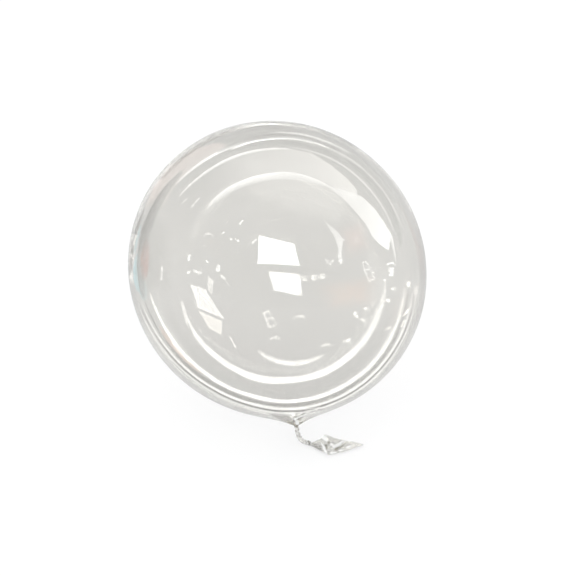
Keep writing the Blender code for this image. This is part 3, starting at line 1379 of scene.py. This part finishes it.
@dataclass(frozen=True)
class LightCard:
    """Pale cards round the balloon, cut so that their picture in the film has these shapes.

    Attributes:
        name: its name.
        wall: the wall that mirrors it.
        shapes: the shapes in the picture, by what they are.
        strength: how bright it is.
        colour: its colour.
        distance: how far from the body's centre it hangs.
    """

    name: str
    wall: Wall
    shapes: dict[str, Shape | tuple[Shape, ...]]
    strength: float
    colour: tuple[float, float, float] = (1.0, 1.0, 0.985)
    distance: float = 0.45

    def spot(self, view: PictureView, body: RoundBody, pose: Pose, place: Place) -> Vector:
        """The place that the film mirrors at this pixel.

        Args:
            view: the viewpoint.
            body: the body.
            pose: how it lies.
            place: the pixel.

        Returns:
            The point at the card's distance.
        """
        eye, ray = view.eye(body, pose.centre), view.ray(body, place)
        flat = pose.oval.inverted() * (1 / body.radius)
        start, step = flat @ (eye - pose.centre), flat @ ray
        half, square = start.dot(step), step.length_squared
        root = math.sqrt(max(0.0, half**2 - square * (start.length_squared - 1)))
        reach = (-half - root if self.wall is Wall.FRONT else -half + root) / square
        hit = eye + ray * reach
        normal = (pose.oval.inverted() @ (start + step * reach)).normalized()
        out = ray - normal * 2 * ray.dot(normal)
        offset = hit - pose.centre
        along = offset.dot(out)
        return hit + out * (math.sqrt(along**2 + self.distance**2 - offset.length_squared) - along)

    def hang(self, room: bmesh.types.BMesh, view: PictureView, body: RoundBody, pose: Pose) -> None:
        """Adds the card to the room's mesh, with its light as values of its corners.

        Args:
            room: the room's mesh.
            view: the viewpoint.
            body: the body.
            pose: how it lies.
        """
        glow, behind = room.verts.layers.float["glow"], room.verts.layers.float["behind"]
        light = room.verts.layers.float_color["light"]
        colour = [part * self.strength for part in self.colour] + [1.0]
        groups = (group if isinstance(group, tuple) else (group,) for group in self.shapes.values())
        for shape in chain.from_iterable(groups):
            rows = []
            for row in shape.rows():
                rows.append([room.verts.new(self.spot(view, body, pose, place)) for place, _ in row])
                for corner, (_, share) in zip(rows[-1], row):
                    corner[glow] = share
                    corner[behind] = float(self.wall is Wall.BACK)
                    corner[light] = colour
            for row, following in zip(rows, rows[1:]):
                for corners in zip(row, row[1:], following[1:], following):
                    room.faces.new(corners)


@dataclass(frozen=True)
class Room:
    """The lamps and windows round the balloon, by their pictures in its two walls.

    Its places, radii and widths are in pixels.

    Attributes:
        middle: the middle of the balloon's outline.
        lamp: the middle of the round lamp's arc in the near wall.
        lamp_behind: the middle of its arc in the far wall.
        upper_left: the middle of the arcs at the upper left.
        left_rim: the middle of the arcs along the lower left rim.
        right_rim: the middle of the arcs along the lower right rim.
    """

    middle: Place = PictureView.centre_px
    lamp: Place = (282.6, 276.9)
    lamp_behind: Place = (282.5, 278.0)
    upper_left: Place = (279.6, 277.8)
    left_rim: Place = (293.4, 248.2)
    right_rim: Place = (285.1, 281.5)

    def lower_arcs(self) -> list[LightCard]:
        """The long bright rims of a round lamp in the lower half.

        Returns:
            Their cards.
        """
        lamp = {"lamp": Arc(self.lamp_behind, 102.7, (167, 1), width=6.8, edges=(0.8, 1.0))}
        beyond = {
            "left": Arc((290.6, 256.5), 144.7, (165, 78), width=3.6, edges=(0.8, 1.0)),
            "right": Arc((284.6, 281.7), 119.9, (112, 3), width=4.0, edges=(0.8, 1.0)),
        }
        rims = {
            "left": Arc(self.left_rim, 161.2, (161, 80), width=1.9),
            "left outside": Arc(self.left_rim, 165.2, (160, 80), width=1.2, edges=(0.6, 0.6)),
            "right": Arc(self.right_rim, 127.6, (108, 6), width=2.2),
            "right outside": Arc(self.right_rim, 131.4, (108, 6), width=1.2, edges=(0.6, 0.6)),
        }
        small = {"small lamp": Arc((294.1, 304.2), 58.9, (129, 60), width=5.6, edges=(0.7, 1.0))}
        return [
            LightCard("main_arc", Wall.BACK, lamp, 11.0),
            LightCard("third_arc", Wall.BACK, beyond, 9.0, distance=0.3),
            LightCard("outer_arcs", Wall.FRONT, rims, 1.9, distance=0.205),
            LightCard("short_arc", Wall.BACK, small, 11.0),
        ]

    def upper_arcs(self) -> list[LightCard]:
        """The rims of the same lamp in the upper half, and the thin lines round them.

        Returns:
            Their card.
        """
        arcs = {
            "lamp": Arc(self.lamp, 101.4, (-138, -62), width=7.6, edges=(0.2, 1.0)),
            "lamp's left part": Arc(self.lamp, 102.4, (-136, -88), width=5.0, edges=(0.2, 0.8)),
            "second": Arc(self.upper_left, 128.9, (-141, -84), width=3.0, edges=(0.3, 0.9)),
            "third": Arc((281.8, 253.5), 115.5, (-116, -66), width=2.4),
            "third's left part": Arc(self.middle, 131.0, (-126, -90), width=2.6, edges=(0.5, 0.6)),
            "third's right part": Arc(self.middle, 131.9, (-88, -20), width=1.8, edges=(0.22, 0.22)),
            "second's right part": Arc(self.middle, 122.8, (-84, -18), width=1.8, edges=(0.32, 0.32)),
            "fourth": Arc(self.middle, 137.2, (-92, -57), width=1.8, edges=(0.3, 0.3)),
            "fourth's left part": Arc(self.upper_left, 139.5, (-138, -108), width=2.4, edges=(0.5, 0.5)),
        }
        return [LightCard("upper_arcs", Wall.FRONT, arcs, 5.0)]

    def dark_arcs(self) -> list[LightCard]:
        """The dark gaps between the bright rims.

        Returns:
            Their cards.
        """
        above = {
            "left": Arc(self.middle, 136.5, (168, 226), width=9.0, edges=(0.8, 1.0)),
            "over the second": Arc(self.middle, 127.0, (-112, -60), width=4.5, edges=(0.6, 0.6)),
            "under the top": Arc(self.middle, 145.4, (-112, -56), width=4.5, edges=(0.3, 0.3)),
            "left edge": Arc(self.middle, 146.2, (180, 205), width=3.4, edges=(0.7, 0.5)),
            "upper left edge": Arc(self.middle, 146.4, (218, 256), width=4.0, edges=(0.5, 0.7)),
            "over the third": Arc((280.0, 262.0), 126.0, (-120, -60), width=5.0, edges=(0.7, 0.7)),
            "upper right": Arc((281.0, 262.0), 121.0, (-58, -8), width=7.0, edges=(0.4, 0.4)),
        }
        below = {
            "left": Arc(self.left_rim, 157.8, (160, 80), width=3.2),
            "left outside": Arc(self.left_rim, 163.2, (160, 80), width=1.6, edges=(0.8, 0.8)),
            "right": Arc(self.right_rim, 123.4, (108, 6), width=4.2),
            "right outside": Arc(self.right_rim, 129.5, (108, 6), width=1.6, edges=(0.8, 0.8)),
        }
        behind = {
            "lower": Arc((281.3, 274.0), 116.0, (168, 20), width=13.0, edges=(0.6, 0.9)),
            "left": Arc(self.middle, 137.0, (188, 224), width=13.0, edges=(0.9, 0.9)),
        }
        return [
            LightCard("dark_rings", Wall.FRONT, above, 0.1, distance=0.26),
            LightCard("dark_rings_below", Wall.FRONT, below, 0.0, distance=0.206),
            LightCard("dark_bands_behind", Wall.BACK, behind, 0.1, distance=0.31),
        ]

    def windows(self) -> list[LightCard]:
        """The windows and the tall curtain at the side.

        Returns:
            Their cards.
        """
        upper = {"pane": Band(((258, 235), (258, 264)), ((294, 244), (300, 266)))}
        lower = {"pane": Band(((268, 271), (274, 290)), ((300, 274), (301, 296)))}
        curtain = {
            "crescent": Band(
                ((327, 185), (343, 190), (362, 197), (375, 209), (385, 223), (391, 235), (389, 250)),
                ((331, 189), (343, 199), (354, 210), (364, 222), (373, 237), (378, 243), (388, 250)),
                first=0.45,
            ),
            "edge": Band(
                ((388, 226), (393, 238), (395, 250), (396, 262)),
                ((389, 229), (391, 240), (393, 251), (395, 261)),
                first=0.7,
                last=0.3,
            ),
            "sliver": Band(
                ((326, 222), (337, 231), (344, 240), (341, 252), (342, 262)),
                ((327, 225), (334, 237), (338, 247), (338, 256), (340, 262)),
                first=0.4,
            ),
        }
        side = {
            "pane": Band(((190.7, 285.0), (198.6, 308.5)), ((206.4, 289.3), (223.6, 318.6))),
            "right sash": Band(
                ((209.0, 276.4), (208.1, 289.3)), ((214.3, 280.7), (212.9, 295.0)), first=0.8, last=0.5
            ),
            "left sash": Band(
                ((193.0, 300.0), (197.5, 309.0)), ((194.0, 300.0), (199.5, 309.0)), first=0.4, last=0.8
            ),
        }
        foot = {"pane": Band(((198.6, 311.0), (209.3, 327.9)), ((221.4, 320.7), (221.4, 334.7)))}
        return [
            LightCard("window", Wall.FRONT, upper, 8.0),
            LightCard("window_below", Wall.BACK, lower, 12.0),
            LightCard("curtain", Wall.FRONT, curtain, 5.0),
            LightCard("side_window", Wall.BACK, side, 8.0),
            LightCard("side_window_foot", Wall.BACK, foot, 6.5, (1.0, 0.97, 0.91)),
        ]

    def near_glints(self) -> list[LightCard]:
        """The small lamps and frames of the room in the near wall.

        Returns:
            Their cards.
        """
        glints = {
            "spark over the window": stroke((239.6, 225.0), (243.3, 220.7), 1.9),
            "upper left spark": stroke((222.4, 233.9), (225.0, 232.1), 1.5),
            "dot left of the window": stroke((230.8, 239.3), (233.0, 239.3), 1.9),
            "dash left of the window": stroke((235.7, 238.6), (240.0, 241.4), 1.3),
            "tick at the window": stroke((251.7, 242.9), (256.4, 238.6), 1.7),
            "faint dot": stroke((222.4, 242.1), (223.8, 242.1), 1.1, 0.6),
            "faint dot below": stroke((231.0, 248.6), (232.4, 248.6), 1.1, 0.6),
            "arch": Arc((208.1, 239.0), 5.2, (190, 350), 2.2, (0.4, 0.4)),
            "dash under the arch": stroke((202.1, 245.4), (205.7, 246.7), 1.1, 0.4),
            "post": stroke((189.7, 254.3), (189.3, 260.5), 2.5),
            "tick beside the post": stroke((205.0, 259.3), (208.3, 262.4), 1.7),
            "bowl": Arc((200.0, 265.0), 7.6, (150, 75), 2.6, (0.8, 0.8)),
            "foot of the post": stroke((187.9, 273.1), (190.4, 270.4), 2.1),
            "tall spark": stroke((218.8, 264.3), (217.8, 271.4), 3.1),
            "spark's tail": stroke((220.5, 275.0), (225.0, 279.0), 2.5, 0.8),
            "tail's end": stroke((225.0, 279.0), (229.5, 286.0), 1.1, 0.4),
            "hook's left side": stroke((325.6, 258.9), (330.0, 264.8), 1.0),
            "hook's right side": stroke((330.0, 264.8), (333.4, 260.0), 1.3, 0.8),
            "spark beside the hook": stroke((338.6, 260.0), (341.2, 263.6), 2.1),
            "lamp shade": Arc((391.2, 267.4), 4.4, (200, 335), 1.8),
            "lamp stand": stroke((391.6, 267.2), (391.6, 275.6), 4.5),
            "frame": ladder(
                top=((362.0, 263.0), (366.4, 261.4)),
                rung=((365.0, 270.4), (370.6, 268.6)),
                foot=((369.3, 281.4), (375.0, 278.6)),
            ),
            "ring": Arc((357.0, 240.0), 1.8, (0, 330), 1.0, (0.4, 0.4)),
            "dash under the ring": stroke((347.5, 250.0), (349.5, 251.5), 1.1, 0.4),
            "dot at the right": stroke((384.0, 279.7), (385.4, 279.7), 1.7),
            "long scratch": stroke((189.8, 208.2), (199.3, 197.6), 1.1, 0.7),
            "short scratch": stroke((181.0, 204.0), (186.0, 199.0), 1.0, 0.4),
        }
        side = {"post at the left": stroke((162.0, 266.0), (161.4, 279.4), 1.3)}
        return [
            LightCard("glints", Wall.FRONT, glints, 5.0, distance=0.42),
            LightCard("side_glint", Wall.FRONT, side, 4.0, distance=0.28),
        ]

    def far_glints(self) -> list[LightCard]:
        """The small lamps and frames of the room in the far wall.

        Returns:
            Their card.
        """
        glints = {
            "dot at the right": stroke((392.4, 287.9), (395.2, 288.3), 2.8),
            "dash at the right": stroke((387.0, 300.4), (390.2, 302.0), 3.2),
            "post": stroke((353.6, 312.0), (357.0, 317.6), 2.8),
            "foot of the post": stroke((361.0, 318.6), (364.0, 321.4), 2.0, 0.8),
            "dash over the foot": stroke((364.6, 308.0), (368.4, 308.0), 2.4, 0.8),
            "lowest spark": stroke((345.4, 342.6), (349.0, 339.0), 3.4),
            "lower right spark": stroke((387.0, 329.0), (390.0, 326.4), 2.8, 0.8),
            "bright bar": stroke((408.8, 279.3), (408.6, 286.4), 3.1),
            "dim bar": stroke((417.4, 283.0), (415.7, 297.0), 2.9, 0.45),
            "upper streak": stroke((403.4, 316.0), (408.6, 309.6), 1.5, 0.9),
            "lower streak": stroke((401.6, 328.0), (404.6, 321.0), 1.3, 0.8),
            "frame": ladder(
                top=((263.6, 313.6), (267.9, 311.0)),
                rung=((266.6, 320.4), (271.8, 317.6)),
                foot=((270.0, 327.9), (275.6, 324.0)),
            ),
            "slash": stroke((230.0, 336.4), (236.0, 347.6), 1.5, 0.5),
            "left arch": Arc((275.0, 342.0), 5.0, (190, 350), 2.4, (0.6, 0.6)),
            "upper arch": Arc((298.6, 322.0), 6.4, (200, 340), 2.6, (0.6, 0.6)),
            "right arch": Arc((327.0, 350.0), 5.4, (190, 340), 2.4, (0.6, 0.6)),
            "first bead": Arc((305.0, 278.0), 1.6, (0, 359), 3.0, (0.6, 0.6)),
            "second bead": Arc((314.0, 277.6), 1.8, (0, 359), 3.2, (0.7, 0.7)),
            "third bead": Arc((322.6, 276.4), 1.8, (0, 359), 3.2, (0.7, 0.7)),
        }
        return [LightCard("glints_below", Wall.BACK, glints, 12.0, distance=0.29)]

    def pale_things(self) -> list[LightCard]:
        """The pale things of the room, which only lighten the film.

        Returns:
            Their cards.
        """
        rose = Band(
            ((141, 214), (152, 188), (168, 167), (192, 149), (213, 143), (225, 142)),
            ((162, 214), (173, 191), (184, 178), (201, 164), (221, 152), (238, 147)),
            first=0.8,
            fade=0.14,
        )
        upper_left = ((202, 180), (227, 162), (257, 151.5), (288, 148.7))
        upper_right = ((311, 153), (329, 164), (345, 177), (357, 190))
        lower_left = ((216, 197), (239, 183), (264, 175), (292, 173))
        lower_right = ((311, 177), (328, 183), (344, 193), (356, 203))
        veil = Band(upper_left + upper_right, lower_left + lower_right, first=0.0)
        cream = Band(
            ((212, 158), (250, 149), (300, 152), (340, 168), (368, 196)),
            ((226, 186), (258, 205), (298, 225), (334, 232), (350, 222)),
            first=0.7,
            fade=0.35,
        )
        return [
            LightCard("rose", Wall.FRONT, {"patch": rose}, 1.15, (1.0, 0.87, 0.82), 0.5),
            LightCard("veil", Wall.FRONT, {"patch": veil}, 2.9, (1.0, 0.98, 0.94), 0.46),
            LightCard("cream", Wall.FRONT, {"patch": cream}, 1.5, (1.0, 0.98, 0.93), 0.6),
        ]

    def coloured_things(self) -> list[LightCard]:
        """The coloured things of the room, which tint the film, and its dark left side.

        Returns:
            Their cards.
        """
        shade = Band(
            ((137, 215), (135, 262), (140, 310)),
            ((174, 205), (174, 262), (180, 300)),
            first=0.7,
            last=0.7,
            fade=0.4,
        )
        peach = Band(((312, 284), (326, 314)), ((382, 270), (378, 306)), fade=0.4)
        blush = Band(((334, 226), (344, 262)), ((364, 214), (374, 252)), fade=0.45)
        amber = Arc(self.left_rim, 154.8, (150, 126), width=5.0)
        sky = {
            "bright part": Arc(self.middle, 140.0, (187, 171), width=8.0, edges=(0.5, 0.8)),
            "lower part": Arc(self.middle, 136.0, (177, 167), width=8.0, edges=(0.3, 0.5)),
            "upper line": Arc(self.middle, 143.6, (198, 186), width=2.4, edges=(0.6, 0.6)),
        }
        coral = {"patch": Arc((283.0, 268.0), 138.4, (191, 176), width=8.0, edges=(0.8, 1.0))}
        coral_colour = (1.0, 0.26, 0.14)
        return [
            LightCard("peach", Wall.BACK, {"patch": peach}, 1.8, (1.0, 0.42, 0.15), 0.6),
            LightCard("blush", Wall.FRONT, {"patch": blush}, 1.2, (1.0, 0.50, 0.40), 0.6),
            LightCard("amber", Wall.FRONT, {"line": amber}, 1.1, (1.0, 0.66, 0.50), 0.207),
            LightCard("left_shade", Wall.FRONT, {"patch": shade}, 0.1, distance=0.3),
            LightCard("sky", Wall.FRONT, sky, 1.1, (0.45, 0.90, 1.0), 0.27),
            LightCard("coral", Wall.FRONT, coral, 0.5, coral_colour, 0.26),
            LightCard("coral_behind", Wall.BACK, coral, 0.5, coral_colour, 0.26),
        ]

    def cards(self) -> list[LightCard]:
        """All the cards of the room.

        Returns:
            The cards, in the order in which they are hung.
        """
        arcs = self.lower_arcs() + self.upper_arcs() + self.dark_arcs()
        glints = self.near_glints() + self.far_glints()
        return arcs + self.windows() + glints + self.pale_things() + self.coloured_things()

    def material(self) -> Material:
        """A glow that only light mirrored by the right wall of the film comes from.

        Returns:
            The material.
        """
        made = bpy.data.materials.new("room")
        made.use_nodes = True
        made.node_tree.nodes.clear()
        made.cycles.emission_sampling = "NONE"
        wiring = Wiring(made.node_tree)
        behind = wiring.node("ShaderNodeAttribute", attribute_name="behind").outputs["Fac"]
        own = wiring.math("COMPARE", wiring.deeper("Transmission Depth", 2.5), behind, 0.5)
        share = wiring.node("ShaderNodeAttribute", attribute_name="glow").outputs["Fac"]
        light = wiring.node("ShaderNodeAttribute", attribute_name="light").outputs["Color"]
        glow = wiring.node("ShaderNodeEmission", {"Color": light})
        mirrored = wiring.deeper("Glossy Depth")
        mix = wiring.node("ShaderNodeMixShader", {"Fac": wiring.product(mirrored, own, share)})
        wiring.feed(mix.inputs[1], wiring.node("ShaderNodeBsdfTransparent").outputs[0])
        wiring.feed(mix.inputs[2], glow.outputs[0])
        wiring.node("ShaderNodeOutputMaterial", {"Surface": mix.outputs[0]})
        return made

    def build(self, view: PictureView, body: RoundBody, pose: Pose) -> None:
        """Hangs the cards round the balloon as one backdrop, which is no part of it.

        Args:
            view: the viewpoint.
            body: the body.
            pose: how it lies.
        """
        room = bmesh.new()
        room.verts.layers.float.new("glow")
        room.verts.layers.float.new("behind")
        room.verts.layers.float_color.new("light")
        for card in self.cards():
            card.hang(room, view, body, pose)
        mesh = bpy.data.meshes.new("room")
        room.to_mesh(mesh)
        room.free()
        mesh.materials.append(self.material())
        made = placed("room", mesh)
        made.visible_camera = False
        made.visible_diffuse = False
        made.visible_shadow = False


@dataclass(frozen=True)
class Studio:
    """The pale floor, the lighting and the camera.

    Attributes:
        view: the viewpoint.
        room: what the film mirrors.
        floor_side: the floor's side.
        floor_tone: how pale the floor is.
        mirrored_tone: how pale the floor and the horizon are where the film mirrors them.
        overhead_tone: how pale the room overhead is there.
        overhead_height: the height of a ray's direction from which that tone holds.
        seen_level: how bright the surroundings are where they are seen.
        light_level: how bright they are as a light.
        key_power: how strong the key light is.
        key_spread: how wide it is, as an angle.
        key_turn: how it is turned from straight above.
    """

    view: PictureView = PictureView()
    room: Room = Room()
    floor_side: float = 60.0
    floor_tone: float = 0.94
    mirrored_tone: float = 0.70
    overhead_tone: float = 0.30
    overhead_height: float = 0.55
    seen_level: float = 1.04
    light_level: float = 0.93
    key_power: float = 0.62
    key_spread: float = math.radians(60)
    key_turn: tuple[float, float, float] = (math.radians(12), math.radians(-18), 0.0)

    def floor(self) -> None:
        """The plain pale floor, which is darker where the film mirrors it, like the room."""
        half = self.floor_side / 2
        mesh = bpy.data.meshes.new("floor")
        corners = [(-half, -half, 0), (half, -half, 0), (half, half, 0), (-half, half, 0)]
        mesh.from_pydata(corners, [], [(0, 1, 2, 3)])
        material = bpy.data.materials.new("floor")
        material.use_nodes = True
        shader = material.node_tree.nodes["Principled BSDF"]
        wiring = Wiring(material.node_tree)
        mirrored = wiring.deeper("Glossy Depth")
        tone = wiring.spread(mirrored, 0.0, 1.0, self.floor_tone, self.mirrored_tone)
        wiring.feed(shader.inputs["Base Color"], tone)
        wiring.feed(shader.inputs["Roughness"], 1.0)
        wiring.feed(shader.inputs["Specular IOR Level"], 0.0)
        mesh.materials.append(material)
        placed("floor", mesh)

    def key(self) -> None:
        """A broad soft light from above."""
        data = bpy.data.lights.new("key", "SUN")
        data.energy = self.key_power
        data.angle = self.key_spread
        made = placed("key", data)
        made.rotation_euler = self.key_turn
        made.visible_glossy = False
        made.visible_transmission = False

    def surroundings(self) -> None:
        """A pale room, which is darker where the film mirrors it, so that its gloss shows."""
        world = bpy.data.worlds.new("room")
        bpy.context.scene.world = world
        world.use_nodes = True
        world.cycles.sampling_method = "NONE"
        world.node_tree.nodes.clear()
        wiring = Wiring(world.node_tree)
        _, _, height = wiring.parts(wiring.node("ShaderNodeTexCoord").outputs["Generated"])
        room = wiring.spread(height, 0.0, self.overhead_height, self.mirrored_tone, self.overhead_tone)
        seen = wiring.spread(wiring.deeper("Glossy Depth"), 0.0, 1.0, self.seen_level, room)
        level = wiring.spread(wiring.deeper("Diffuse Depth"), 0.0, 1.0, seen, self.light_level)
        white = (1.0, 1.0, 1.0, 1.0)
        light = wiring.node("ShaderNodeBackground", {"Color": white, "Strength": level})
        wiring.node("ShaderNodeOutputWorld", {"Surface": light.outputs[0]})

    def build(self, body: RoundBody) -> None:
        """Sets up the studio round the balloon.

        Args:
            body: the balloon's body.
        """
        pose = body.pose()
        self.floor()
        self.key()
        self.surroundings()
        self.room.build(self.view, body, pose)
        self.view.camera(body, pose.centre)
        scene = bpy.context.scene
        scene.view_settings.view_transform = "Standard"
        scene.cycles.use_denoising = True
        scene.cycles.max_bounces = 24
        scene.cycles.glossy_bounces = 16
        scene.cycles.transmission_bounces = 24
        scene.cycles.caustics_reflective = False
        scene.cycles.caustics_refractive = False


def main() -> None:
    """Builds the balloon and its studio, and reports each piece."""
    logging.basicConfig(level=logging.INFO, format="%(message)s")
    balloon = Balloon()
    piece = balloon.build()
    LOG.info("%s: %d faces", piece.name, len(piece.data.polygons))
    studio = Studio()
    studio.build(balloon.body)
    LOG.info("light cards: %s", ", ".join(card.name for card in studio.room.cards()))


if __name__ == "__main__":
    main()
